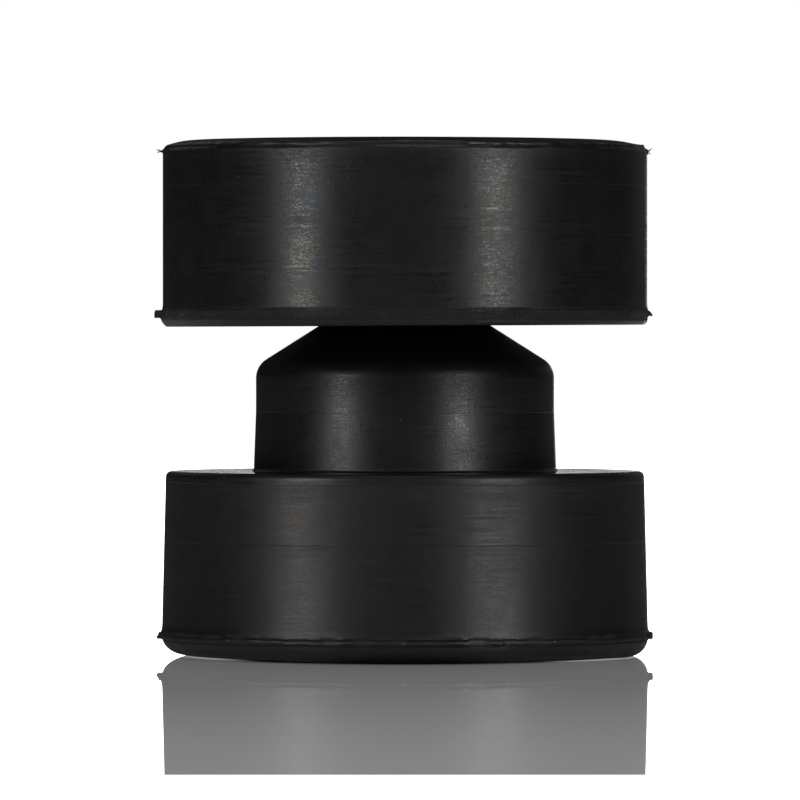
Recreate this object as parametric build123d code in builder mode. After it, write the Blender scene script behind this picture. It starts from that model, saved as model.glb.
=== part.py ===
from build123d import *
from math import radians, tan
import os

# Two-piece rubber mount: a plain ring stacked on a bushing whose conical nose centres it.
# A bracket plate is clamped between the two discs, round the bushing's hub.
# The origin is the centre of the bushing's base, with +Z up the bolt's axis. Millimetres.

# Shared by both pieces
bolt_bore_diameter = 17.0
bore_mouth_bevel = 0.5
disc_diameter = 65.0

# Bushing: flange disc
flange_spread = 0.05  # how far its parting line stands outside the nominal disc
flange_height = 24.85
flange_top_bevel = 0.75
mould_draft = 1.4  # degrees, on the flange's side and the lower hub
foot_corner = 3.0
foot_land = 0.2

# Bushing: hub and nose
hub_diameter = 40.0
hub_straight = 6.0  # parallel stretch that fits the bracket's hole
hub_drafted = 8.1  # tapered stretch down to the flange
hub_shoulder = 2.7  # blend between hub and nose
nose_rise = 5.4  # free cone between the hub's shoulder and the ring
nose_entry = 1.0  # how far the nose stands inside the ring
nose_tip_land = 1.4  # flat annulus round the bore that carries the ring

# Ring
ring_height = 24.8
ring_foot_step = 0.25  # the lower mould plate is cut this much wider
ring_foot_bevel_width = 0.8
ring_foot_bevel_height = 1.05  # from the underside to the parting line
crown_height = 1.2  # rounded top edge above the upper parting line
crown_width = 2.4
mouth_clearance = 0.15  # radial gap between the nose and the ring's mouth

# Moulding flash: a fin all round each parting line
bushing_flash_reach = 0.9
bushing_flash_root = 0.9
bushing_flash_tip = 0.6
ring_low_flash_reach = 1.15
ring_low_flash_root = 1.0
ring_low_flash_tip = 0.6
ring_top_flash_reach = 0.8
ring_top_flash_root = 0.5
ring_top_flash_tip = 0.2
flash_bite = 0.6  # how deep a fin's section runs into the body that carries it

# Radii and levels that follow from the sizes above
bore_radius = bolt_bore_diameter / 2
draft_slope = tan(radians(mould_draft))

disc_radius = disc_diameter / 2
flange_radius = disc_radius + flange_spread
bushing_parting = foot_corner + foot_land
flange_top_radius = flange_radius - draft_slope * (flange_height - bushing_parting)

hub_radius = hub_diameter / 2
hub_root_radius = hub_radius + draft_slope * hub_drafted
hub_straight_level = flange_height + hub_drafted
shoulder_level = hub_straight_level + hub_straight
nose_tip_radius = bore_radius + nose_tip_land
ring_level = shoulder_level + nose_rise
nose_tip_level = ring_level + nose_entry
nose_run = (hub_radius - nose_tip_radius) / (nose_rise + nose_entry)

ring_foot_radius = disc_radius + ring_foot_step
ring_low_parting = ring_level + ring_foot_bevel_height
ring_top_level = ring_level + ring_height
ring_top_parting = ring_top_level - crown_height
seat_radius = nose_tip_radius + mouth_clearance
mouth_radius = seat_radius + nose_run * nose_entry


def flash_section(root_radius, low_level, reach, root, tip):
    """Section of a fin: flat underneath at low_level, and thinning from above towards its tip."""
    with BuildSketch() as section:
        with BuildLine():
            Polyline(
                (root_radius - flash_bite, low_level),
                (root_radius + reach, low_level),
                (root_radius + reach, low_level + tip),
                (root_radius, low_level + root),
                (root_radius - flash_bite, low_level + root),
                close=True,
            )
        make_face()
    return section.sketch


# Lower bushing: flange, hub and nose in one moulding
with BuildPart() as lower_bushing:
    with BuildSketch(Plane.XZ):
        with BuildLine():
            foot = FilletPolyline(
                (bore_radius, bore_mouth_bevel),
                (bore_radius + bore_mouth_bevel, 0),
                (flange_radius, 0),
                (flange_radius, bushing_parting),
                radius=[0, foot_corner],
            )
            FilletPolyline(
                foot @ 1,
                (flange_top_radius, flange_height - flange_top_bevel),
                (flange_top_radius - flange_top_bevel, flange_height),
                (hub_root_radius, flange_height),
                (hub_radius, hub_straight_level),
                (hub_radius, shoulder_level),
                (nose_tip_radius, nose_tip_level),
                (bore_radius, nose_tip_level),
                foot @ 0,
                radius=[0, 0, 0, 0, hub_shoulder, 0, 0],
            )
        make_face()
        add(
            flash_section(
                flange_radius,
                bushing_parting - bushing_flash_root,
                bushing_flash_reach,
                bushing_flash_root,
                bushing_flash_tip,
            )
        )
    revolve(axis=Axis.Z)

# Upper ring: plain disc whose underside opens into a seat for the nose
with BuildPart() as upper_ring:
    with BuildSketch(Plane.XZ):
        with BuildLine():
            lower_edge = Polyline(
                (bore_radius, nose_tip_level),
                (seat_radius, nose_tip_level),
                (mouth_radius, ring_level),
                (ring_foot_radius - ring_foot_bevel_width, ring_level),
                (ring_foot_radius, ring_low_parting),
                (disc_radius, ring_low_parting),
                (disc_radius, ring_top_parting),
            )
            crown = TangentArc(
                (disc_radius - crown_width, ring_top_level),
                lower_edge @ 1,
                tangent=(1, 0),
            )
            Polyline(
                crown @ 0,
                (bore_radius + bore_mouth_bevel, ring_top_level),
                (bore_radius, ring_top_level - bore_mouth_bevel),
                lower_edge @ 0,
            )
        make_face()
        add(
            flash_section(
                disc_radius,
                ring_low_parting,
                ring_low_flash_reach,
                ring_low_flash_root,
                ring_low_flash_tip,
            )
        )
        add(
            flash_section(
                disc_radius,
                ring_top_parting - ring_top_flash_root,
                ring_top_flash_reach,
                ring_top_flash_root,
                ring_top_flash_tip,
            )
        )
    revolve(axis=Axis.Z)

lower_bushing.part.label = "lower_bushing"
upper_ring.part.label = "upper_ring"

os.makedirs("parts", exist_ok=True)
export_step(lower_bushing.part, "parts/lower_bushing.step")
export_step(upper_ring.part, "parts/upper_ring.step")
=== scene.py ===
"""Rubber anti-vibration mount: a moulded ring resting on the conical nose of a moulded bushing.

Sizes are millimetres, and become metres where a mesh is written. Bearings are degrees round the
bolt's axis, from +X towards +Y. The camera stands on the -Y side, so +X is at its right hand.
"""

import logging
import math
from dataclasses import dataclass, field
from enum import Enum

import bpy
import numpy as np
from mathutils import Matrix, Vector


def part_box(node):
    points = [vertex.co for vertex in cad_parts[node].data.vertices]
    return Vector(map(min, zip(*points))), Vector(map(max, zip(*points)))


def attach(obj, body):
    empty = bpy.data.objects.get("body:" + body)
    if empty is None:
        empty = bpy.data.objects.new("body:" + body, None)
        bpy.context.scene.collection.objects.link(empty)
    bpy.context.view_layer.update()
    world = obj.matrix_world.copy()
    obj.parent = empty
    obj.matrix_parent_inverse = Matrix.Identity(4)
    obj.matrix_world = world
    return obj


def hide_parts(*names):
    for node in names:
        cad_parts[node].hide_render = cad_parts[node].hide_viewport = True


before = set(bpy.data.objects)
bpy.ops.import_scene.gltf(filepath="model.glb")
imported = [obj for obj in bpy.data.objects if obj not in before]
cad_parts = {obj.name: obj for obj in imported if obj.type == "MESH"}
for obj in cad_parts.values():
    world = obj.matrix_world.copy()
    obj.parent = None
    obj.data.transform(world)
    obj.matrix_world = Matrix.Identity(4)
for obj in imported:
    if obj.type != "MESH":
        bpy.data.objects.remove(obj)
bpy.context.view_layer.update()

log = logging.getLogger("mount")

MM = 0.001
TURN = 2 * math.pi
TORN_SHARE = "torn_share"  # the mesh attribute's name
SHARP_FROM = 38.0  # degrees between faces
MIX_INPUTS, MIX_RESULT = (0, 6, 7), 2  # the Mix node's sockets for a share and two colours
WATTS_PER_RADIANCE = 4.0
OBJECT_MIDDLE = 0.035  # metres above the floor

Outline = tuple[tuple[float, float], ...]
Reach = float | np.ndarray
Triple = tuple[float, float, float]
Ramp = tuple[float, float, float, float]
Socket = bpy.types.NodeSocket


class Surface(Enum):
    """How the rubber came out of the mould; the value is the share of torn texture."""

    MOULDED = 0.0
    TORN = 1.0


def smoothstep(value: np.ndarray) -> np.ndarray:
    """Ease from 0 to 1 as value goes from 0 to 1."""
    clipped = np.clip(value, 0.0, 1.0)
    return clipped * clipped * (3 - 2 * clipped)


def add_object(name: str, data: bpy.types.ID) -> bpy.types.Object:
    """Make an object and link it to the scene.

    Args:
        name: its name.
        data: its mesh, lamp or camera.

    Returns:
        The new object.
    """
    made = bpy.data.objects.new(name, data)
    bpy.context.scene.collection.objects.link(made)
    return made


def face(holder: bpy.types.Object, target: Triple) -> None:
    """Turn a lamp or the camera towards a point."""
    holder.rotation_mode = "QUATERNION"
    holder.rotation_quaternion = (Vector(target) - holder.location).to_track_quat("-Z", "Y")


@dataclass(frozen=True)
class Ripple:
    """Seamless random variation round the axis, with a spread of about one."""

    seed: int
    coarsest: int  # waves in one turn
    finest: int
    fall: float = 0.5  # how fast the waves weaken as they get finer

    def at(self, bearings: np.ndarray) -> np.ndarray:
        """Work out the variation at each bearing.

        Args:
            bearings: angles in radians.

        Returns:
            One value for each bearing.
        """
        draw = np.random.default_rng(self.seed)
        waves = np.arange(self.coarsest, self.finest + 1)
        heights = draw.normal(size=waves.size) * waves ** -self.fall
        starts = draw.uniform(0, TURN, size=waves.size)
        total = (heights * np.cos(np.outer(bearings, waves) + starts)).sum(axis=1)
        return total / np.sqrt((heights**2).sum() / 2)


@dataclass(frozen=True)
class Whisker:
    """A hair of flash: a closed tapered tube whose root is inside the rubber."""

    bearing: float
    lean: float  # how many degrees its tip lies round the axis from its root
    thickness: float  # at the root
    path: Outline  # out from the side and up from the parting line, root first
    rings: int = 9
    sides: int = 6
    taper: float = 0.5  # how much of the thickness is gone at the tip


@dataclass
class Moulding:
    """One rubber moulding, whose section goes round the bolt's axis and may vary on its way."""

    node: str = ""  # the solid that it stands for
    flash_reach: float = 0.0  # how far the widest fin on that solid stands out from its side
    bore_radius: float = 8.5
    bore_round: float = 0.5
    segments: int = 1320
    support: float = 0.07  # how near a straight stretch's ends its extra courses lie
    tuck: float = 0.05  # a foot corner ends this far below the flash
    radii: list[np.ndarray] = field(default_factory=list)
    levels: list[np.ndarray] = field(default_factory=list)
    torn: list[np.ndarray] = field(default_factory=list)
    hairs: list[np.ndarray] = field(default_factory=list)

    @property
    def bearings(self) -> np.ndarray:
        """Angles of the vertices round the axis, in radians."""
        return np.arange(self.segments) * TURN / self.segments

    @property
    def side_radius(self) -> float:
        """Radius of the side, from the solid's box."""
        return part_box(self.node)[1].x / MM - self.flash_reach

    @property
    def low_level(self) -> float:
        """Height of the underside, from the solid's box."""
        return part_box(self.node)[0].z / MM

    @property
    def top_level(self) -> float:
        """Height of the highest face, from the solid's box."""
        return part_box(self.node)[1].z / MM

    def point(self, radius: Reach, level: Reach, torn: Reach = Surface.MOULDED.value) -> None:
        """Add one course of vertices.

        Args:
            radius: distance from the axis, for all bearings or for each.
            level: height above the base.
            torn: share of torn texture there.
        """
        whole = np.ones(self.segments)
        self.radii.append(whole * radius)
        self.levels.append(whole * level)
        self.torn.append(whole * torn)

    def flash(self, lip: "Lip", radius: float, level: float) -> None:
        """Add a lip's courses.

        Args:
            lip: the lip.
            radius: the side's radius there.
            level: the parting line's height.
        """
        torn = lip.pallor + (Surface.TORN.value - lip.pallor) * lip.near(self.bearings)
        for out, rise in lip.courses(self.bearings):
            self.point(radius + out, level + rise, torn)

    def line(self, end: tuple[Reach, Reach], steps: int = 1) -> None:
        """Run straight from the last course to end, with support courses just inside both ends.

        Args:
            end: radius and level of the far end.
            steps: how many spans the middle of the stretch is cut into.
        """
        start = (self.radii[-1], self.levels[-1])
        whole = np.ones(self.segments)
        run = (whole * end[0] - start[0], whole * end[1] - start[1])
        length = float(np.hypot(run[0], run[1]).max())
        near = min(self.support / length, 0.3)
        shares = [near, *np.linspace(near, 1 - near, steps + 1)[1:], 1.0]
        for share in shares:
            self.point(start[0] + run[0] * share, start[1] + run[1] * share)

    def bend(
        self, corner: tuple[Reach, Reach], end: tuple[Reach, Reach], steps: int, turn: float = 90
    ) -> None:
        """Round a corner from the last course to end, along an arc that both legs touch.

        Args:
            corner: radius and level where the two legs would meet.
            end: radius and level where the rounding ends.
            steps: how many spans the rounding is cut into.
            turn: degrees between the two legs' directions.
        """
        start = (self.radii[-1], self.levels[-1])
        # This weight on the corner turns the parabola into an arc of a circle or an ellipse
        weight = math.cos(math.radians(turn / 2))
        for step in range(1, steps + 1):
            share = step / steps
            first, middle, last = (1 - share) ** 2, 2 * share * (1 - share), share**2
            total = first + middle * weight + last
            self.point(
                (first * start[0] + middle * weight * corner[0] + last * end[0]) / total,
                (first * start[1] + middle * weight * corner[1] + last * end[1]) / total,
            )

    def hair(self, whisker: Whisker, radius: float, level: float) -> None:
        """Add one whisker of flash.

        Args:
            whisker: the whisker.
            radius: the side's radius there.
            level: the parting line's height.
        """
        knots = np.array(whisker.path) + (radius, level)
        shares = np.linspace(0, 1, whisker.rings)
        along = np.linspace(0, 1, len(knots))
        reach, height = (np.interp(shares, along, values) for values in knots.T)
        turn = np.radians(whisker.bearing + whisker.lean * shares**2)
        spine = np.stack([reach * np.cos(turn), reach * np.sin(turn), height], axis=1)
        tangent = np.gradient(spine, axis=0)
        tangent /= np.linalg.norm(tangent, axis=1)[:, None]
        across = np.cross(tangent, (0.0, 0.0, 1.0))
        across /= np.linalg.norm(across, axis=1)[:, None]
        upward = np.cross(across, tangent)
        width = whisker.thickness / 2 * (1 - whisker.taper * shares)
        sides = np.arange(whisker.sides) * TURN / whisker.sides
        ring = (
            np.cos(sides)[None, :, None] * across[:, None, :]
            + np.sin(sides)[None, :, None] * upward[:, None, :]
        )
        self.hairs.append(spine[:, None, :] + width[:, None, None] * ring)

    def close(self) -> None:
        """Run straight down the bore to the first course, which closes the section."""
        self.line((self.radii[0], self.levels[0]))
        for courses in (self.radii, self.levels, self.torn):
            courses.pop()

    def mesh(self, name: str) -> bpy.types.Object:
        """Close the section into a ring-shaped skin and write it as a mesh object.

        Args:
            name: the object's name.

        Returns:
            The new object, linked to the scene.
        """
        radius, level = np.array(self.radii), np.array(self.levels)
        bearings = self.bearings
        points = np.stack([radius * np.cos(bearings), radius * np.sin(bearings), level], axis=2)
        rows, columns = radius.shape
        row = np.arange(rows)[:, None]
        column = np.arange(columns)[None, :]
        above, beside = (row + 1) % rows, (column + 1) % columns
        corners = [
            row * columns + column,
            row * columns + beside,
            above * columns + beside,
            above * columns + column,
        ]
        faces = [np.stack(corners, axis=2).reshape(-1, 4).tolist()]
        vertices = [points.reshape(-1, 3)]
        torn = [np.concatenate(self.torn)]
        for hair in self.hairs:
            start = sum(len(block) for block in vertices)
            rings, sides = hair.shape[:2]
            vertices.append(hair.reshape(-1, 3))
            torn.append(np.ones(rings * sides))
            faces.append(tube_faces(start, rings, sides))
        data = bpy.data.meshes.new(name)
        data.from_pydata((np.concatenate(vertices) * MM).tolist(), [], sum(faces, []))
        share = data.attributes.new(TORN_SHARE, "FLOAT", "POINT")
        share.data.foreach_set("value", np.concatenate(torn).astype(np.float32))
        data.shade_smooth()
        data.set_sharp_from_angle(angle=math.radians(SHARP_FROM))
        data.update()
        return add_object(name, data)


def tube_faces(start: int, rings: int, sides: int) -> list[list[int]]:
    """List the faces of a closed tube.

    Args:
        start: number of the tube's first vertex.
        rings: rings of vertices along it.
        sides: vertices in a ring.

    Returns:
        Vertex numbers of each face, the two end caps last.
    """
    faces = []
    for ring in range(rings - 1):
        for side in range(sides):
            beside = (side + 1) % sides
            low, high = start + ring * sides, start + (ring + 1) * sides
            faces.append([low + side, high + side, high + beside, low + beside])
    faces.append([start + side for side in range(sides)])
    last = start + (rings - 1) * sides
    faces.append([last + side for side in reversed(range(sides))])
    return faces


@dataclass(frozen=True)
class Stretch:
    """A part of the way round the axis: its middle, and how far it reaches to either side."""

    bearing: float
    spread: float

    def share(self, bearings: np.ndarray) -> np.ndarray:
        """How much of the stretch there is at each bearing, from 0 to 1."""
        away = np.abs((np.degrees(bearings) - self.bearing + 180) % 360 - 180)
        return smoothstep((self.spread - away) / (0.45 * self.spread))


@dataclass(frozen=True)
class Tag(Stretch):
    """A stretch where the flash tore wider, and its section there."""

    outline: Outline


@dataclass(frozen=True)
class Lip:
    """Flash left at a parting line: a thin ragged bead with a few wider tags.

    Outlines run from the lower root to the upper one. Each point is how far it stands out from
    the side and how high it lies against the parting line.
    """

    outline: Outline
    tags: tuple[Tag, ...]
    seed: int
    pallor: float = 0.25  # share of torn texture between the tags
    raggedness: float = 0.35
    drift: float = 0.035  # how far the bead wanders up and down
    nicks: float = 0.10  # depth of the short bites out of its edge
    nicks_from: float = 0.1  # they are only where the bead stands out further than this
    least: float = 0.02  # how far the bead always stands out

    def near(self, bearings: np.ndarray) -> np.ndarray:
        """How much of a tag there is at each bearing, from 0 to 1."""
        return np.clip(sum(tag.share(bearings) for tag in self.tags), 0, 1)

    def courses(self, bearings: np.ndarray) -> list[tuple[np.ndarray, np.ndarray]]:
        """Work out the bead's section at each bearing.

        Args:
            bearings: angles in radians.

        Returns:
            Reach and height of each point of the section, for every bearing.
        """
        body = Ripple(self.seed, 4, 60, 0.45).at(bearings)
        grain = Ripple(self.seed + 1, 90, 420, 0.1).at(bearings)
        sway = Ripple(self.seed + 2, 5, 140, 0.6).at(bearings)
        bites = self.nicks * smoothstep((grain - 1.3) / 0.9)  # only where the grain is strongest
        swell = np.clip(1 + self.raggedness * body, 0.25, 1.7)
        dents = np.clip(1 + 0.4 * self.raggedness * body, 0.6, 1.3)
        shares = [tag.share(bearings) for tag in self.tags]
        rest = np.clip(1 - sum(shares), 0, 1)
        courses = []
        for index, (reach, height) in enumerate(self.outline):
            if reach > self.least:
                out = np.maximum(reach * swell - bites * (reach > self.nicks_from), self.least)
            else:
                out = reach * dents
            out, rise = out * rest, (height + self.drift * sway) * rest
            for share, tag in zip(shares, self.tags):
                out = out + share * tag.outline[index][0]
                rise = rise + share * tag.outline[index][1]
            courses.append((out, rise))
        return courses


@dataclass(frozen=True)
class Cloud:
    """Soft random variation: its cells, its layers and the part of its range that counts."""

    cells: Triple  # per metre along X, Y and Z
    detail: float  # how many finer layers are added
    low: float
    high: float


# What the skin's layers are made of
DOTS = Cloud((5600, 5600, 5000), 1.0, 0.32, 0.68)
STROKES = Cloud((800, 800, 6000), 0.0, 0.36, 0.64)
GRAIN_PATCHES = Cloud((170, 170, 170), 1.0, 0.38, 0.62)
LINE_GROUPS = Cloud((60, 60, 420), 1.0, 0.46, 0.64)
BLOOM_PATCHES = Cloud((170, 170, 150), 2.0, 0.50, 0.72)
TINT_PATCHES = Cloud((190, 190, 130), 2.0, 0.46, 0.66)

# Cells per metre along X, Y and Z
FINE_LINES: Triple = (110, 110, 2700)
MOTTLING: Triple = (260, 260, 150)
CRUMBS: Triple = (2300, 2300, 2300)

SECOND_TINT: Triple = (0.31, 0.17, 0.43)  # metres from the first tint's patches to its own


class Bench:
    """Lays out and wires the nodes of one material or of the world."""

    def __init__(self, tree: bpy.types.NodeTree) -> None:
        """Start with an empty tree."""
        self.tree = tree
        tree.nodes.clear()

    def node(self, kind: str, **settings: object) -> bpy.types.Node:
        """Add one node.

        Args:
            kind: the node type without its leading ShaderNode.
            settings: the node's own properties.

        Returns:
            The new node.
        """
        made = self.tree.nodes.new("ShaderNode" + kind)
        for name, value in settings.items():
            setattr(made, name, value)
        return made

    def feed(self, socket: Socket, value: object) -> None:
        """Wire value into a socket if it is another socket, and set it there if it is plain.

        Args:
            socket: the input.
            value: a socket, a number or a colour.
        """
        if isinstance(value, Socket):
            self.tree.links.new(value, socket)
        else:
            socket.default_value = value

    def math(self, operation: str, *terms: object) -> Socket:
        """Add a Math node.

        Args:
            operation: the node's operation.
            terms: sockets or numbers that it works on.

        Returns:
            The result's socket.
        """
        made = self.node("Math", operation=operation)
        for socket, term in zip(made.inputs, terms):
            self.feed(socket, term)
        return made.outputs[0]

    def times(self, *terms: object) -> Socket:
        """Multiply two terms."""
        return self.math("MULTIPLY", *terms)

    def plus(self, *terms: object) -> Socket:
        """Add two terms."""
        return self.math("ADD", *terms)

    def times_plus(self, *terms: object) -> Socket:
        """Multiply the first two terms and add the third."""
        return self.math("MULTIPLY_ADD", *terms)

    def vector(self, operation: str, place: Socket, by: Triple = (0, 0, 0)) -> Socket:
        """Add a Vector Math node.

        Args:
            operation: the node's operation.
            place: the socket that it works on.
            by: the plain vector that it works with.

        Returns:
            The result's socket, a number for LENGTH and a vector for the others.
        """
        made = self.node("VectorMath", operation=operation)
        self.feed(made.inputs[0], place)
        made.inputs[1].default_value = by
        return made.outputs["Value" if operation == "LENGTH" else "Vector"]

    def along(self, place: Socket, axis: str) -> Socket:
        """Take one coordinate of a place.

        Args:
            place: the socket that gives it.
            axis: X, Y or Z.

        Returns:
            The coordinate's socket.
        """
        made = self.node("SeparateXYZ")
        self.feed(made.inputs[0], place)
        return made.outputs[axis]

    def ramp(self, value: Socket, low: float, high: float, start: float, end: float) -> Socket:
        """Map a value smoothly from one range to another.

        Args:
            value: the socket that gives it.
            low: the value that gives start.
            high: the value that gives end.
            start: the result at low and before it.
            end: the result at high and past it.

        Returns:
            The result's socket.
        """
        made = self.node("MapRange", interpolation_type="SMOOTHSTEP")
        for socket, term in zip(made.inputs, (value, low, high, start, end)):
            self.feed(socket, term)
        return made.outputs[0]

    def blend(self, share: object, under: object, over: object) -> Socket:
        """Mix two colours.

        Args:
            share: how much of over there is, from 0 to 1.
            under: the first colour.
            over: the second colour.

        Returns:
            The mixed colour's socket.
        """
        made = self.node("Mix", data_type="RGBA")
        for number, term in zip(MIX_INPUTS, (share, under, over)):
            self.feed(made.inputs[number], term)
        return made.outputs[MIX_RESULT]

    def layer(self, share: Socket, under: Socket, over: Socket) -> Socket:
        """Mix two shaders.

        Args:
            share: how much of over there is, from 0 to 1.
            under: the first shader.
            over: the second shader.

        Returns:
            The mixed shader's socket.
        """
        made = self.node("MixShader")
        for socket, term in zip(made.inputs, (share, under, over)):
            self.feed(socket, term)
        return made.outputs[0]

    def show(self, surface: Socket, output: str = "OutputMaterial") -> None:
        """End the tree with its output node."""
        self.feed(self.node(output).inputs["Surface"], surface)


@dataclass(frozen=True)
class Score:
    """A turning line that the mould left all round, where the photograph shows one."""

    level: float
    width: float
    depth: float


@dataclass(frozen=True)
class Band:
    """A stretch of height where the skin changes."""

    low: float
    high: float
    change: float  # of the roughness or of the shine


@dataclass(frozen=True)
class Mark:
    """A grain of dust, a pale scratch, a patch of bloom or a patch of dimmed shine on the side."""

    bearing: float
    radius: float
    level: float
    width: float
    height: float
    shade: Triple = (0.40, 0.39, 0.37)
    change: float = 0.0  # of the roughness

    @property
    def place(self) -> Vector:
        """Where its middle lies, in metres."""
        turn = math.radians(self.bearing)
        return Vector((self.radius * math.cos(turn), self.radius * math.sin(turn), self.level)) * MM


OLIVE = (1.0, 1.0, 0.83)
BLUE = (0.82, 0.93, 1.0)
VIOLET = (0.95, 0.93, 1.0)
HAZE = (0.90, 0.94, 1.0)
PLAIN = (1.0, 1.0, 1.0)  # a patch that leaves the shine's colour as it is


@dataclass(frozen=True)
class MouldedRubber:
    """Satin black rubber with the mould's turning lines, a mottled skin and a faint bloom."""

    name: str
    shade: float = 0.0054  # linear
    blueness: float = 1.05
    ior: float = 1.5
    roughness: float = 0.40
    roughness_limits: tuple[float, float] = (0.2, 0.7)
    mottle: float = 0.16  # how far patches of a few millimetres move the roughness
    grain: float = 0.053  # how far the skin's fine grain moves it
    grain_shade: float = 0.28  # and how far it dims the shine
    grain_relief: float = 0.0009
    hub_grain: float = 1.0  # how much stronger the grain is on the hub
    hub_from: tuple[float, float] = (24.6, 25.2)  # the heights over which that starts
    line_dulling: float = 0.30
    line_relief: float = 0.016
    torn_shade: Triple = (0.022, 0.021, 0.0195)
    torn_dulling: float = 0.40
    torn_relief: float = 0.06
    bloom: float = 1.0
    bloom_lift: Triple = (1.6, 1.6, 1.5)  # how much paler than the rubber
    scores: tuple[Score, ...] = ()
    bands: tuple[Band, ...] = ()
    band_edge: float = 0.04  # half the height over which a band begins or ends
    slopes: tuple[Band, ...] = ()  # the roughness changes from their foot to their top, and stays
    fades: tuple[Band, ...] = ()  # painted shade: the shine dims from their foot to their top
    specks: tuple[Mark, ...] = ()
    patches: tuple[Mark, ...] = ()

    def material(self) -> bpy.types.Material:
        """Build the node material.

        Returns:
            The finished material.
        """
        made = bpy.data.materials.new(self.name)
        made.use_nodes = True
        bench = RubberBench(made.node_tree, self)
        shader = bench.node("BsdfPrincipled")
        shader.inputs["IOR"].default_value = self.ior
        bench.feed(shader.inputs["Base Color"], bench.colour())
        bench.feed(shader.inputs["Specular Tint"], bench.tint())
        bench.feed(shader.inputs["Roughness"], bench.roughness())
        bench.feed(shader.inputs["Normal"], bench.normal())
        bench.show(shader.outputs["BSDF"])
        return made


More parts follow.
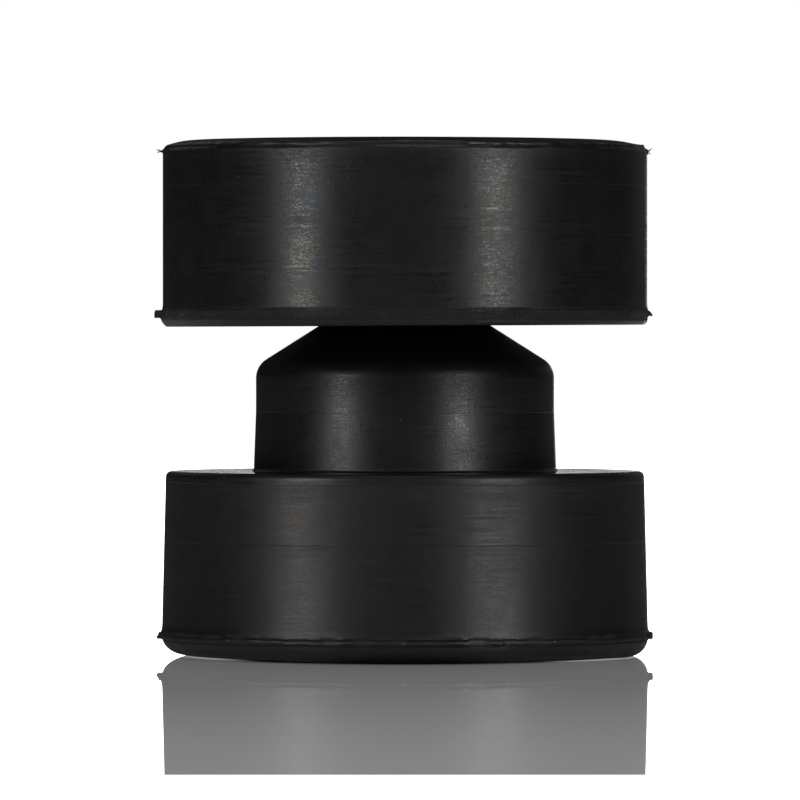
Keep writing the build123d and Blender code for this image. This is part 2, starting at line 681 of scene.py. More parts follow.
class RubberBench(Bench):
    """Wires the layers of one rubber, from the sockets that they share."""

    def __init__(self, tree: bpy.types.NodeTree, rubber: MouldedRubber) -> None:
        """Lay out what the layers share.

        Args:
            tree: the material's tree.
            rubber: the finish.
        """
        super().__init__(tree)
        self.rubber = rubber
        self.place = self.node("TexCoord").outputs["Object"]
        self.level = self.along(self.place, "Z")
        self.torn = self.node("Attribute", attribute_name=TORN_SHARE).outputs["Fac"]
        # Fine broken lines round the axis, in groups, and 0 where there are none
        fine = self.math("SUBTRACT", self.noise(FINE_LINES, 1.0), 0.5)
        self.lines = self.times(fine, self.cloud(LINE_GROUPS, 0.10, 1.0))
        # Fine grain with short strokes round the axis, from -1 to 1, stronger in patches
        grain = self.plus(self.cloud(DOTS, -1.2, 1.2), self.cloud(STROKES, -0.45, 0.45))
        patchy = self.cloud(GRAIN_PATCHES, 0.80, 1.15)
        if rubber.hub_grain != 1.0:
            low, high = (height * MM for height in rubber.hub_from)
            patchy = self.times(patchy, self.ramp(self.level, low, high, 1.0, rubber.hub_grain))
        self.grain = self.times(grain, patchy)
        self.patches = [(patch, self.near(patch, 0.8)) for patch in rubber.patches]

    def noise(self, cells: Triple, detail: float, offset: Triple = (0, 0, 0)) -> Socket:
        """Add soft random variation.

        Args:
            cells: cells per metre along X, Y and Z.
            detail: how many finer layers are added.
            offset: how far it is moved, in metres.

        Returns:
            The socket of the variation, about 0.5 with most of it from 0.3 to 0.7.
        """
        place = self.vector("ADD", self.place, offset) if any(offset) else self.place
        made = self.node("TexNoise")
        self.feed(made.inputs["Vector"], self.vector("MULTIPLY", place, cells))
        made.inputs["Scale"].default_value = 1.0
        made.inputs["Detail"].default_value = detail
        return made.outputs["Fac"]

    def cloud(self, cloud: Cloud, start: float, end: float, offset: Triple = (0, 0, 0)) -> Socket:
        """Add variation that goes from start to end over a cloud's range."""
        noise = self.noise(cloud.cells, cloud.detail, offset)
        return self.ramp(noise, cloud.low, cloud.high, start, end)

    def near(self, mark: Mark, soft: float) -> Socket:
        """Work out where a mark lies.

        Args:
            mark: the mark.
            soft: how much of it fades, from 0 to 1.

        Returns:
            The socket of its share, from 0 to 1.
        """
        away = self.vector("SUBTRACT", self.place, mark.place)
        wide, high = 2 / (mark.width * MM), 2 / (mark.height * MM)
        reach = self.vector("LENGTH", self.vector("MULTIPLY", away, (wide, wide, high)))
        return self.ramp(reach, 1 - soft, 1.0, 1.0, 0.0)

    def climb(self, band: Band) -> Socket:
        """Change with the height, from 0 at a band's foot to its full change at its top."""
        return self.ramp(self.level, band.low * MM, band.high * MM, 0.0, band.change)

    def grainy(self, least: float) -> Socket:
        """Share that follows the grain, from least to 1."""
        return self.ramp(self.grain, -0.8, 0.8, least, 1.0)

    def colour(self) -> Socket:
        """Near black, with a little bloom in patches, torn flash and grains of dust.

        Returns:
            The colour's socket.
        """
        rubber = self.rubber
        dark = (rubber.shade, rubber.shade, rubber.shade * rubber.blueness)
        pale = (tone * lift for tone, lift in zip(dark, rubber.bloom_lift))
        patch = self.times(self.cloud(BLOOM_PATCHES, 0.0, rubber.bloom), self.grainy(0.35))
        colour = self.blend(patch, (*dark, 1), (*pale, 1))
        crumbs = self.times(self.torn, self.grainy(0.5))
        colour = self.blend(crumbs, colour, (*rubber.torn_shade, 1))
        for speck in rubber.specks:
            colour = self.blend(self.near(speck, 0.5), colour, (*speck.shade, 1))
        return colour

    def tint(self) -> Socket:
        """Colour of the shine: faintly olive, blue and violet where the bloom lies, dimmed by the
        grain and by painted shade.

        Returns:
            The colour's socket.
        """
        most = 0.5 * self.rubber.bloom
        colour = self.blend(self.cloud(TINT_PATCHES, 0.0, most), (*PLAIN, 1), (*OLIVE, 1))
        colour = self.blend(self.cloud(TINT_PATCHES, 0.0, most, SECOND_TINT), colour, (*VIOLET, 1))
        grainy = self.grainy(0.5)
        for patch, share in self.patches:
            colour = self.blend(self.times(share, grainy), colour, (*patch.shade, 1))
        # The grain dims the shine, and painted shade dims it further over the fades' bands
        grain_and_painted_shade = self.ramp(self.grain, -1.0, 1.0, self.rubber.grain_shade, 0.0)
        for fade in self.rubber.fades:
            grain_and_painted_shade = self.plus(grain_and_painted_shade, self.climb(fade))
        return self.blend(grain_and_painted_shade, colour, (0, 0, 0, 1))

    def roughness(self) -> Socket:
        """Satin, duller where it is mottled or torn.

        Returns:
            The roughness' socket.
        """
        rubber = self.rubber
        start = rubber.roughness - rubber.mottle / 2
        gloss = self.times_plus(self.noise(MOTTLING, 2.0), rubber.mottle, start)
        gloss = self.times_plus(self.grain, -rubber.grain, gloss)
        gloss = self.times_plus(self.lines, rubber.line_dulling, gloss)
        for patch, share in self.patches:
            if patch.change:
                gloss = self.times_plus(share, patch.change, gloss)
        edge = rubber.band_edge * MM
        for band in rubber.bands:
            low, high = band.low * MM, band.high * MM
            rise = self.ramp(self.level, low - edge, low + edge, 0.0, 1.0)
            fall = self.ramp(self.level, high - edge, high + edge, 1.0, 0.0)
            gloss = self.times_plus(self.times(rise, fall), band.change, gloss)
        for slope in rubber.slopes:
            gloss = self.plus(gloss, self.climb(slope))
        gloss = self.times_plus(self.torn, rubber.torn_dulling, gloss)
        smoothest, dullest = rubber.roughness_limits
        return self.math("MINIMUM", self.math("MAXIMUM", gloss, smoothest), dullest)

    def normal(self) -> Socket:
        """Turning lines, skin grain and torn crumbs as bump.

        Returns:
            The normal's socket.
        """
        rubber = self.rubber
        height = self.times(self.lines, rubber.line_relief)
        height = self.times_plus(self.grain, rubber.grain_relief, height)
        crumbs = self.times(self.noise(CRUMBS, 2.0), self.torn)
        height = self.times_plus(crumbs, rubber.torn_relief, height)
        for score in rubber.scores:
            away = self.math("ABSOLUTE", self.math("SUBTRACT", self.level, score.level * MM))
            cut = self.ramp(away, 0.0, score.width * MM / 2, 1.0, 0.0)
            height = self.times_plus(cut, -score.depth, height)
        bump = self.node("Bump")
        bump.inputs["Strength"].default_value = 1.0
        bump.inputs["Distance"].default_value = MM
        self.feed(bump.inputs["Height"], height)
        return bump.outputs["Normal"]


def dress(piece: bpy.types.Object, finish: MouldedRubber, node: str) -> None:
    """Give a piece its finish and put it in the frame in place of its plain solid.

    Args:
        piece: the mesh object.
        finish: what it is made of.
        node: the solid that it stands for.
    """
    piece.data.materials.append(finish.material())
    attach(piece, "root")
    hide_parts(node)
    log.info("%s: %d faces, replaces %s", piece.name, len(piece.data.polygons), node)


@dataclass
class Bushing(Moulding):
    """Lower moulding: flange, hub and conical nose, with flash at its one parting line."""

    node: str = "lower_bushing"
    flash_reach: float = 0.9
    segments: int = 1180  # so that the mesh stays under 200,000 triangles
    draft: float = 1.4  # degrees
    flange_height: float = 24.85
    flange_round: float = 0.8
    belly: float = 0.075  # the cooled side stands out this much beyond its straight taper
    parting: float = 3.2
    flare_rise: float = 1.1  # the side turns out this far above the parting line
    flare: float = 0.17
    foot_round: float = 2.6
    foot_bias: float = 0.07  # the corner is tighter at the right and wider at the left
    foot_wear: float = 0.55  # and the base is rubbed away this much further in at the left
    front_worn: Stretch = Stretch(-40, 26)  # it is rubbed away here too
    front_wear: float = 1.6
    lifted: Stretch = Stretch(-155, 45)  # here the base's edge stands off the floor
    lift: float = 0.24
    lift_width: float = 3.0
    flat_end: float = 0.4  # the base's flat part ends this far inside the corner
    hub_radius: float = 20.0
    hub_draft: float = 2.1
    hub_root_round: float = 0.4
    hub_straight: float = 6.0
    hub_drafted: float = 8.1
    shoulder: float = 3.0
    nose_tip_radius: float = 9.9
    tip_bevel: float = 0.1
    tip_drop: float = 0.06  # the height of that bevel
    lip: Lip = Lip(
        outline=(
            (-0.11, -1.02), (-0.09, -0.92), (-0.05, -0.84), (0.12, -0.74), (0.16, -0.66),
            (0.17, -0.48), (0.15, -0.32), (0.0, -0.18), (0.02, -0.10), (0.17, 0.0),
        ),
        tags=(
            Tag(180, 5.5, (
                (-0.10, -1.04), (0.14, -0.93), (0.34, -0.85), (0.70, -0.88), (0.86, -0.60),
                (0.62, -0.33), (0.53, 0.01), (0.45, 0.00), (0.41, -0.03), (0.23, 0.08),
            )),
            Tag(0, 6.5, (
                (0.04, -1.13), (0.14, -0.96), (0.27, -0.86), (0.41, -0.92), (0.67, -0.90),
                (0.74, -0.66), (0.73, -0.33), (0.77, -0.09), (0.54, 0.01), (0.37, -0.03),
            )),
        ),
        seed=31,
        pallor=0.22,
    )

    def build(self) -> bpy.types.Object:
        """Make and dress the bushing.

        Returns:
            The finished object.
        """
        self._foot()
        self._flange()
        self._hub_and_nose()
        piece = self.mesh("moulded_bushing")
        dress(piece, BUSHING_RUBBER, self.node)
        return piece

    def _foot(self) -> None:
        """Bore mouth, base, rounded foot corner and the flash."""
        bearings = self.bearings
        reach = self.side_radius + self.belly
        self.point(self.bore_radius, self.bore_round)
        mouth = self.bore_radius + self.bore_round
        self.bend((self.bore_radius, 0), (mouth, 0), 3)
        height = self.foot_round - self.foot_bias * np.cos(bearings)
        left = np.clip(-np.cos(bearings), 0, 1)
        width = height + self.foot_wear * left**4
        width += self.front_wear * self.front_worn.share(bearings)
        off = self.lifted.share(bearings)
        start = self.lift * off
        self.line((reach - width - self.flat_end - self.lift_width * off, 0), 2)
        self.point(reach - width, start)
        top = self.parting + self.lip.outline[0][1] - self.tuck
        sweep = np.arccos(np.clip((height - top) / (height - start), -1, 1))
        for share in np.linspace(0.1, 1, 10):
            angle = share * sweep
            rise = (height - start) * (1 - np.cos(angle))
            self.point(reach - width * (1 - np.sin(angle)), start + rise)
        self.flash(self.lip, self.side_radius, self.parting)

    def _flange(self) -> None:
        """Flared stretch over the flash, drafted side, rounded top corner and top face."""
        slope = math.tan(math.radians(self.draft))
        reach = self.side_radius
        for share in (0.25, 0.45, 0.7, 1.0):
            level = self.parting + self.flare_rise * share
            flare = self.belly + self.flare * (1 - share) ** 2
            self.point(reach - slope * self.flare_rise * share + flare, level)
        side_top = self.flange_height - self.flange_round
        reach += self.belly
        top_radius = reach - slope * (self.flange_height - self.parting)
        self.line((reach - slope * (side_top - self.parting), side_top), 4)
        self.bend(
            (top_radius, self.flange_height),
            (top_radius - self.flange_round, self.flange_height),
            8,
        )

    def _hub_and_nose(self) -> None:
        """Hub with its root rounding, shoulder, cone, nose tip and bore."""
        slope = math.tan(math.radians(self.hub_draft))
        straight = self.flange_height + self.hub_drafted
        root_radius = self.hub_radius + slope * self.hub_drafted
        self.line((root_radius + self.hub_root_round, self.flange_height), 5)
        self.bend(
            (root_radius, self.flange_height),
            (root_radius - slope * self.hub_root_round, self.flange_height + self.hub_root_round),
            4,
        )
        self.line((self.hub_radius, straight), 1)
        shoulder_level = straight + self.hub_straight
        run, rise = self.hub_radius - self.nose_tip_radius, self.top_level - shoulder_level
        lean = math.atan2(run, rise)
        back = self.shoulder * math.tan(lean / 2)
        self.line((self.hub_radius, shoulder_level - back), 1)
        centre = self.hub_radius - self.shoulder
        for share in np.linspace(0.1, 1, 10):
            self.point(
                centre + self.shoulder * math.cos(share * lean),
                shoulder_level - back + self.shoulder * math.sin(share * lean),
            )
        self.line((self.nose_tip_radius + self.tip_bevel, self.top_level - self.tip_drop), 2)
        self.point(self.nose_tip_radius, self.top_level)
        self.line((self.bore_radius, self.top_level), 1)
        self.close()


@dataclass
class Ring(Moulding):
    """Upper moulding: a plain disc with flash at both parting lines, seated on the nose."""

    node: str = "upper_ring"
    flash_reach: float = 1.15
    seat_radius: float = 10.05
    seat_rise: float = 1.0
    mouth_radius: float = 11.63
    foot_rise: float = 1.05
    foot_step: float = 0.25
    foot_flat_end: float = 0.85  # the underside's flat part ends this far inside its rim
    foot_slack: float = 0.22  # the foot corner is this much blunter at the left
    foot_turn: float = 65.0  # degrees
    foot_inset: float = 0.02  # the corner ends this far inside the flash's lower root
    low_flash: float = 1.0  # the lower parting line's flash is this thick
    flares: Outline = ((0.32, 0.06), (0.45, 0.03), (0.65, 0.01), (0.9, 0.0))  # above the nibs
    side_end: float = 0.78  # the side runs up to this far below the upper parting line
    crown_height: float = 1.2  # from the upper parting line to the top face
    crown_width: float = 1.9  # from the side to where the tight rounding ends
    crown_drop: float = 0.12  # that place is this much lower than the top face
    crown_fall: float = 13.0  # degrees that the rim slopes there
    crown_reach: float = 0.95
    crown_turn: float = 35.0  # degrees
    slant: float = 0.14  # the underside's rim is this much higher at the right, lower at the left
    sag: float = 0.035
    crown_slant: float = 0.09  # the crown is this much lower at the right and higher at the left
    crown_extra: float = 0.20  # and this much lower on both sides than in front
    low_lip: Lip = Lip(
        outline=(
            (-0.07, -1.08), (-0.03, -0.92), (0.0, -0.74), (0.05, -0.56), (0.09, -0.38),
            (0.13, -0.20), (0.16, -0.04), (0.12, 0.04), (0.03, 0.14), (0.0, 0.22),
        ),
        tags=(
            Tag(180, 6.0, (
                (0.30, -1.13), (0.42, -1.04), (0.82, -1.04), (1.12, -1.04), (1.14, -0.93),
                (1.14, -0.26), (1.00, 0.02), (0.50, 0.02), (0.12, 0.02), (0.09, 0.14),
            )),
            Tag(0, 5.0, (
                (0.08, -0.98), (0.16, -0.84), (0.34, -0.73), (0.59, -0.80), (0.77, -0.70),
                (0.62, -0.45), (0.46, -0.23), (0.32, -0.11), (0.15, -0.10), (0.10, 0.06),
            )),
        ),
        seed=47,
        pallor=0.12,
        raggedness=0.45,
        nicks=0.0,
    )
    top_lip: Lip = Lip(
        outline=(
            (0.00, -0.36), (-0.03, -0.26), (-0.16, -0.08), (-0.31, 0.12), (-0.36, 0.20),
            (-0.37, 0.40), (-0.56, 0.54),
        ),
        tags=(
            Tag(180, 4.0, (
                (0.02, -0.50), (0.12, -0.42), (0.28, -0.32), (0.26, -0.18), (0.10, -0.06),
                (-0.16, 0.10), (-0.46, 0.40),
            )),
            Tag(0, 4.5, (
                (0.02, -0.72), (0.14, -0.62), (0.16, -0.42), (0.18, -0.22), (0.16, -0.06),
                (-0.24, 0.07), (-0.58, 0.33),
            )),
        ),
        seed=59,
        pallor=0.12,
        raggedness=0.7,
        nicks=0.0,
    )
    whiskers: tuple[Whisker, ...] = (
        Whisker(179.0, 1.0, 0.22, ((-0.4, -0.26), (0.34, -0.16), (0.62, -0.02), (0.86, -0.05))),
        Whisker(182.0, -1.0, 0.22, ((-0.4, -0.26), (0.25, -0.28), (0.50, -0.32), (0.70, -0.38))),
        Whisker(0.0, -0.5, 0.17, ((-0.4, -0.35), (0.20, -0.14), (0.42, -0.02), (0.62, 0.16))),
        Whisker(1.5, 0.5, 0.17, ((-0.4, -0.30), (0.20, -0.40), (0.38, -0.52), (0.50, -0.60))),
        Whisker(-1.5, 0.0, 0.15, ((-0.4, -0.60), (0.14, -0.34), (0.30, -0.16), (0.46, -0.08))),
    )

    def build(self) -> bpy.types.Object:
        """Make and dress the ring.

        Returns:
            The finished object.
        """
        self._seat_and_underside()
        self._side()
        self._crown_and_bore()
        for whisker in self.whiskers:
            self.hair(whisker, self.side_radius, self.top_level - self.crown_height)
        piece = self.mesh("moulded_ring")
        dress(piece, RING_RUBBER, self.node)
        return piece

    def _seat_and_underside(self) -> None:
        """Land on the nose's tip, conical mouth, flat underside and rounded foot corner."""
        bearings = self.bearings
        low, seat = self.low_level, self.low_level + self.seat_rise
        slant = self.slant * np.cos(bearings) - self.sag
        self.point(self.bore_radius, seat)
        self.line((self.seat_radius, seat), 1)
        self.line((self.mouth_radius, low), 1)
        rim = self.side_radius + self.foot_step
        courses = self.low_lip.courses(bearings)
        parting = low + self.foot_rise + self.low_flash
        edge = self.side_radius + courses[0][0]
        slack = self.foot_slack * (1 - np.cos(bearings))
        self.line((rim - self.foot_flat_end, low + slant), 5)
        self.bend(
            (edge - slack, low + self.tuck + slant),
            (edge - self.foot_inset, parting + courses[0][1] - self.tuck),
            8,
            turn=self.foot_turn,
        )
        self.flash(self.low_lip, self.side_radius, parting)

    def _side(self) -> None:
        """Side, from just above the lower flash to the upper one."""
        parting = self.low_level + self.foot_rise + self.low_flash
        near = self.low_lip.near(self.bearings)
        for rise, flare in self.flares:
            self.point(self.side_radius + flare * near, parting + rise)
        top = self.top_level - self.crown_height
        self.line((self.side_radius, top - self.side_end), 5)
        self.flash(self.top_lip, self.side_radius, top)

    def _crown_and_bore(self) -> None:
        """Rounded top edge, gently domed rim, flat top face and bore."""
        cosine = np.cos(self.bearings)
        drop = self.crown_drop + self.crown_extra * np.abs(cosine) + self.crown_slant * cosine
        shoulder = self.side_radius - self.crown_width, self.top_level - drop
        fall = math.tan(math.radians(self.crown_fall))
        self.bend(
            (shoulder[0] + self.crown_reach, shoulder[1] - fall * self.crown_reach),
            shoulder,
            6,
            turn=self.crown_turn,
        )
        self.bend(
            (shoulder[0] - drop / fall, self.top_level),
            (shoulder[0] - 2 * drop / fall, self.top_level),
            6,
            turn=self.crown_fall,
        )
        mouth = self.bore_radius + self.bore_round
        self.line((mouth, self.top_level), 4)
        self.bend(
            (self.bore_radius, self.top_level),
            (self.bore_radius, self.top_level - self.bore_round),
            3,
        )
        self.close()


# Radii at which marks lie
RING_SIDE = 32.5
LOW_FLASH_EDGE = 32.6
FLANGE_SIDE = 32.4
FLANGE_FLASH_EDGE = 32.5
HUB_SIDE = 20.1


def marks(radius: float, *places: tuple) -> tuple[Mark, ...]:
    """Put marks on a side; each has its bearing, level, width, height, shade and change."""
    return tuple(Mark(place[0], radius, *place[1:]) for place in places)


RING_RUBBER = MouldedRubber(
    name="ring_rubber",
    roughness=0.35,
    scores=(
        Score(66.0, 0.14, 0.006),
        Score(63.0, 0.16, 0.012),
        Score(55.4, 0.14, 0.006),
        Score(51.6, 0.14, 0.005),
    ),
    bands=(
        Band(66.3, 67.7, 0.04),
        Band(45.05, 46.8, 0.19),
        Band(69.1, 69.3, 0.24),
    ),
    # painted shade: the shine is dimmed over the lower flash
    fades=(Band(46.9, 46.7, 0.24), Band(45.15, 44.95, -0.24)),
    specks=(
        *marks(LOW_FLASH_EDGE, (-155.5, 45.75, 0.30, 0.30)),
        *marks(
            RING_SIDE,
            (-115.8, 65.0, 0.24, 0.30),
            (-116.2, 62.85, 0.15, 0.15),
            (-115.3, 62.85, 0.15, 0.15),
            (-21.1, 66.5, 0.20, 0.20, (0.2, 0.2, 0.2)),
            (-132.2, 63.9, 0.22, 0.18, (0.12, 0.12, 0.12)),
            (-133.0, 61.5, 0.20, 0.20, (0.08, 0.08, 0.08)),
            (-148.0, 66.9, 0.40, 0.30, (0.05, 0.05, 0.05)),
            (-146.4, 63.4, 0.35, 0.30, (0.04, 0.04, 0.04)),
            (-103.5, 65.2, 0.10, 1.50, (0.05, 0.05, 0.05)),
            (-103.4, 63.7, 0.12, 0.50, (0.10, 0.10, 0.10)),
            (-88.4, 67.4, 0.45, 0.12, (0.06, 0.06, 0.06)),
            (-87.0, 67.7, 0.30, 0.12, (0.08, 0.08, 0.08)),
        ),
    ),
    patches=marks(
        RING_SIDE,
        (-100.0, 57.0, 30.0, 30.0, HAZE),
        (-128.0, 56.0, 10.0, 26.0, HAZE),
        (-113.6, 65.7, 5.0, 2.8, OLIVE),
        (-114.6, 67.2, 2.4, 1.2, BLUE),
        (-115.5, 66.0, 8.0, 5.0, PLAIN, 0.010),
        (-113.2, 61.4, 3.8, 3.4, BLUE),
        (-112.0, 59.0, 4.0, 3.0, VIOLET),
        (-114.8, 53.6, 7.0, 8.0, OLIVE, -0.062),
        (-110.4, 51.8, 3.4, 4.0, BLUE),
        (-114.6, 47.9, 7.0, 3.4, OLIVE, -0.035),
        (-70.0, 58.8, 7.0, 12.0, (1.0, 1.0, 0.92), -0.022),
        (-70.2, 50.5, 6.0, 6.0, (1.0, 1.0, 0.92), -0.016),
    ),
)

BUSHING_RUBBER = MouldedRubber(
    name="bushing_rubber",
    shade=0.0038,
    roughness=0.425,
    mottle=0.16,
    grain=0.022,
    grain_shade=0.14,
    hub_grain=2.4,
    bloom=0.5,
    scores=(
        Score(23.35, 0.20, 0.020),
        Score(15.4, 0.18, 0.024),
        Score(10.6, 0.14, 0.008),
        Score(32.7, 0.20, 0.020),
        Score(34.9, 0.14, 0.006),
    ),
    bands=(
        Band(21.4, 23.35, 0.035),
        Band(23.4, 24.3, -0.05),
        Band(24.8, 24.88, -0.22),
        Band(25.2, 38.8, -0.085),
    ),
    slopes=(
        Band(4.0, 24.0, 0.04),
        Band(33.0, 38.0, 0.03),
    ),
    # painted shade of the ring's overhang on the top of the hub
    fades=(Band(33.0, 38.5, 0.36),),
    specks=(
        *marks(HUB_SIDE, (-91.5, 31.85, 0.22, 0.22, (0.2, 0.2, 0.2))),
        *marks(FLANGE_FLASH_EDGE, (-102.6, 2.96, 0.30, 0.22, (0.3, 0.3, 0.28))),
    ),
    patches=(
        *marks(
            FLANGE_SIDE,
            (-115.6, 18.6, 5.0, 4.6, (1.0, 0.91, 0.87), -0.03),
            (-115.0, 12.4, 4.6, 5.0, (1.0, 0.95, 0.92), -0.01),
        ),
        *marks(
            HUB_SIDE,
            (-113.0, 33.0, 6.0, 3.4, PLAIN, -0.035),
            (-114.5, 30.4, 5.0, 3.4, PLAIN, -0.015),
            (-71.0, 31.0, 6.0, 4.4, PLAIN, -0.045),
            (-68.0, 27.6, 6.4, 1.8, PLAIN, 0.07),
            (-104.0, 32.6, 4.0, 5.0, VIOLET, 0.02),
            (-81.0, 28.6, 5.0, 5.0, VIOLET, 0.03),
            (-125.0, 32.0, 5.0, 4.0, VIOLET, 0.02),
            # These two dim the shine: painted shade on the hub's front under the ring, and a dimmer
            # stretch at its left end
            (-91.0, 34.8, 13.0, 12.0, (0.66, 0.66, 0.66)),
            (-160.0, 32.0, 16.0, 15.0, (0.78, 0.78, 0.78)),
        ),
    ),
)


@dataclass(frozen=True)
class Softbox:
    """A lamp behind a diffuser, facing the mount."""

    name: str
    bearing: float  # degrees from the camera's side, towards the camera's right
    distance: float  # metres
    height: float  # of its middle, in metres
    size: tuple[float, float]  # metres wide and high
    radiance: float

    def place(self) -> None:
        """Put the lamp in the scene."""
        lamp = bpy.data.lights.new(self.name, "AREA")
        lamp.shape = "RECTANGLE"
        lamp.size, lamp.size_y = self.size
        lamp.energy = self.radiance * WATTS_PER_RADIANCE * self.size[0] * self.size[1]
        holder = add_object(self.name, lamp)
        turn = math.radians(self.bearing)
        holder.location = (
            self.distance * math.sin(turn),
            -self.distance * math.cos(turn),
            self.height,
        )
        face(holder, (0, 0, OBJECT_MIDDLE))
        holder.visible_camera = False


@dataclass(frozen=True)
class MattWhite:
    """White table: plain white to the camera, and otherwise dark, so that it hardly lights."""

    shade: float = 0.8
    unseen_shade: float = 0.05
    glow: float = 0.75
    glow_colour: Triple = (0.98, 1.0, 1.03)

    def material(self, name: str) -> bpy.types.Material:
        """Build the node material.

        Args:
            name: the material's name.

        Returns:
            The finished material.
        """
        made = bpy.data.materials.new(name)
        made.use_nodes = True
        bench = Bench(made.node_tree)
        bench.show(self._surface(bench))
        return made

    def _surface(self, bench: Bench) -> Socket:
        """Wire the whole surface."""
        seen = bench.node("LightPath").outputs["Is Camera Ray"]
        return self._paint(bench, seen, bench.times(seen, self.glow))

    def _paint(self, bench: Bench, painted: Socket, strength: Socket) -> Socket:
        """Wire the white paint and its glow.

        Args:
            bench: the material's bench.
            painted: how white the paint is, from 0 to 1.
            strength: how much it glows.

        Returns:
            The shader's socket.
        """
        paint, glow, both = (bench.node(kind) for kind in ("BsdfDiffuse", "Emission", "AddShader"))
        dark, pale = ((tone, tone, tone, 1) for tone in (self.unseen_shade, self.shade))
        bench.feed(paint.inputs["Color"], bench.blend(painted, dark, pale))
        glow.inputs["Color"].default_value = (*self.glow_colour, 1)
        bench.feed(glow.inputs["Strength"], strength)
        bench.feed(both.inputs[0], paint.outputs[0])
        bench.feed(both.inputs[1], glow.outputs[0])
        return both.outputs[0]


@dataclass(frozen=True)
class PolishedWhite(MattWhite):
    """White sheet that mirrors the mount, with painted shade round and under the foot and painted
    glow under its sides.

    Each ramp is where it begins and ends, in metres from the bolt's axis, and the values there.
    """

    seen_glow_with_painted_shade: Ramp = (0.03, 0.30, 0.36, 0.60)  # the camera's glow, dimmer close to the mount: painted shade
    oval: Triple = (1.3, 0.95, 1.0)  # the foot touches an oval this many times less wide
    # painted shadow under the foot: no glow and dark paint inside the oval
    painted_shadow_glow: Ramp = (0.0305, 0.0385, 0.0, 1.0)
    painted_shadow_paint: Ramp = (0.029, 0.033, 0.0, 1.0)
    right_painted_glow: Ramp = (0.017, 0.024, 0.0, 1.25)  # painted glow under the foot's right side, along X
    right_painted_glow_end: Ramp = (0.0308, 0.0324, 1.0, 0.0)
    # painted glow under the foot's left side, along X
    left_painted_glow: Ramp = (-0.019, -0.026, 0.0, 1.1)
    left_painted_glow_end: Ramp = (0.0285, 0.031, 1.0, 0.0)
    # painted shade: no glow for the rubber's shine close to the mount
    reflected_glow_start: Ramp = (0.034, 0.14, 0.0, 1.0)
    reflected_glow_end: Ramp = (0.25, 0.40, 0.17, 0.0)  # how bright the sheet glows in the rubber's shine: painted light seen by glossy rays only
    ior: float = 1.5

    def _surface(self, bench: Bench) -> Socket:
        """Wire the whole surface.

        Args:
            bench: the material's bench.

        Returns:
            The shader's socket.
        """
        path = bench.node("LightPath")
        spot = bench.node("TexCoord").outputs["Object"]
        away = bench.vector("LENGTH", spot)
        across = bench.along(spot, "X")
        oval = bench.vector("LENGTH", bench.vector("MULTIPLY", spot, self.oval))
        # Painted glow strips under the foot's left and right sides, for the camera only
        painted_glows = [
            bench.times(bench.ramp(across, *rim), bench.ramp(away, *end))
            for rim, end in ((self.left_painted_glow, self.left_painted_glow_end), (self.right_painted_glow, self.right_painted_glow_end))
        ]
        seen = path.outputs["Is Camera Ray"]
        # Painted light that only the rubber's shine sees, none close to the mount as painted shade
        shine = bench.times(bench.ramp(away, *self.reflected_glow_start), bench.ramp(away, *self.reflected_glow_end))
        shine = bench.times(path.outputs["Is Glossy Ray"], shine)
        glow = bench.times_plus(seen, bench.ramp(away, *self.seen_glow_with_painted_shade), shine)
        seen_painted_glows = bench.times(seen, bench.plus(*painted_glows))
        # Painted shadow under the foot: its glow and its white paint fade out inside the oval
        glow = bench.times_plus(glow, bench.ramp(oval, *self.painted_shadow_glow), seen_painted_glows)
        white = self._paint(bench, bench.ramp(oval, *self.painted_shadow_paint), glow)
        gloss = bench.node("BsdfGlossy")
        gloss.inputs["Roughness"].default_value = 0.0
        gloss.inputs["Color"].default_value = (1, 1, 1, 1)
        mirror = bench.node("Fresnel")
        mirror.inputs["IOR"].default_value = self.ior
        return bench.layer(mirror.outputs[0], white, gloss.outputs[0])


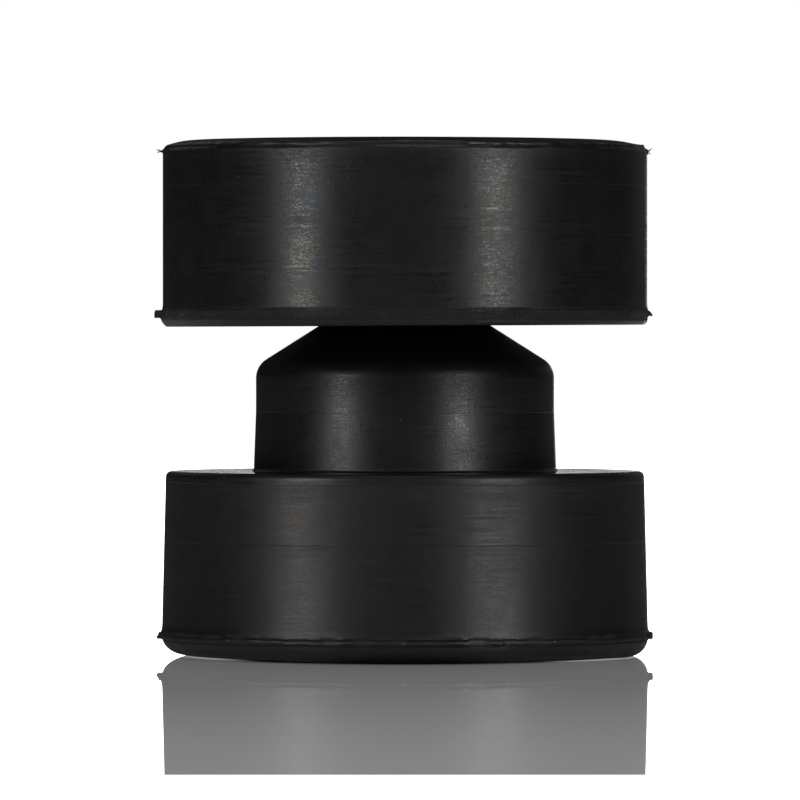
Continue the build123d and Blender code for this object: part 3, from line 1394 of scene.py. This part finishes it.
@dataclass
class Studio:
    """White floor and background, soft lamps and the camera."""

    lamps: tuple[Softbox, ...] = (
        Softbox("left_softbox", -49.5, 1.0, 0.30, (0.20, 0.60), 6.9),
        Softbox("right_softbox", 43, 1.0, 0.30, (0.21, 0.60), 7.2),
        Softbox("front_fill", -4, 1.6, 0.45, (0.7, 0.9), 0.165),
        Softbox("overhead_panel", 0, 0.05, 1.40, (1.1, 1.1), 0.65),
        Softbox("backdrop_panel", 176, 1.7, 0.10, (0.50, 0.20), 1.5),
        Softbox("rear_right_panel", 155, 1.5, 0.60, (0.90, 1.10), 0.10),
        Softbox("rear_left_panel", -155, 1.5, 0.85, (0.90, 0.60), 0.17),
    )
    ambient: float = 0.012
    mirrored_white: float = 0.08  # the background is this much brighter in the sheet's mirror
    floor_width: float = 12.0  # metres
    sheet_front: float = 0.343  # metres from the bolt's axis to the polished sheet's front edge
    camera_distance: float = 1.305
    camera_height: float = 0.0448
    aim: tuple[float, float] = (-0.00067, 0.03435)  # X and Z on the bolt's plane
    lens: float = 437.5
    sensor: float = 36.0

    def build(self) -> None:
        """Put everything but the mount in the scene."""
        for lamp in self.lamps:
            lamp.place()
        self._world()
        self._floor()
        self._camera()
        bpy.context.scene.view_settings.view_transform = "Standard"
        log.info("studio: %d lamps, floor and camera", len(self.lamps))

    def _world(self) -> None:
        """White to the camera and in a mirror, dim for lighting."""
        world = bpy.data.worlds.new("studio")
        world.use_nodes = True
        bench = Bench(world.node_tree)
        path = bench.node("LightPath")
        early = bench.math("LESS_THAN", path.outputs["Ray Depth"], 2.5)
        mirrored = bench.times(path.outputs["Is Singular Ray"], early)
        seen = bench.math("MAXIMUM", path.outputs["Is Camera Ray"], mirrored)
        dim, white = bench.node("Background"), bench.node("Background")
        dim.inputs["Color"].default_value = (self.ambient, self.ambient, self.ambient, 1)
        white.inputs["Color"].default_value = (1, 1, 1, 1)
        bench.feed(white.inputs["Strength"], bench.times_plus(mirrored, self.mirrored_white, 1.0))
        bench.show(bench.layer(seen, dim.outputs[0], white.outputs[0]), "OutputWorld")
        bpy.context.scene.world = world

    def _floor(self) -> None:
        """Polished white sheet that mirrors the mount, and the matt white table before it."""
        half = self.floor_width / 2
        front = -self.sheet_front
        self._slab("polished_sheet", (-half, front, half, half), PolishedWhite())
        self._slab("table", (-half, -half, half, front), MattWhite())

    def _slab(self, name: str, extent: tuple[float, ...], finish: MattWhite) -> None:
        """Lay one flat stretch of the floor.

        Args:
            name: the object's name.
            extent: lowest X and Y and highest X and Y, in metres.
            finish: what it is made of.
        """
        west, south, east, north = extent
        data = bpy.data.meshes.new(name)
        corners = [(west, south, 0), (east, south, 0), (east, north, 0), (west, north, 0)]
        data.from_pydata(corners, [], [(0, 1, 2, 3)])
        slab = add_object(name, data)
        data.materials.append(finish.material(name))

    def _camera(self) -> None:
        """Long lens, a little above the mount's middle."""
        data = bpy.data.cameras.new("camera")
        data.lens, data.sensor_width = self.lens, self.sensor
        camera = add_object("camera", data)
        camera.location = (self.aim[0], -self.camera_distance, self.camera_height)
        face(camera, (self.aim[0], 0, self.aim[1]))
        bpy.context.scene.camera = camera


def main() -> None:
    """Build the mount and the studio, in order."""
    logging.basicConfig(level=logging.INFO, format="%(name)s: %(message)s")
    Bushing().build()
    Ring().build()
    Studio().build()


if __name__ == "__main__":
    main()
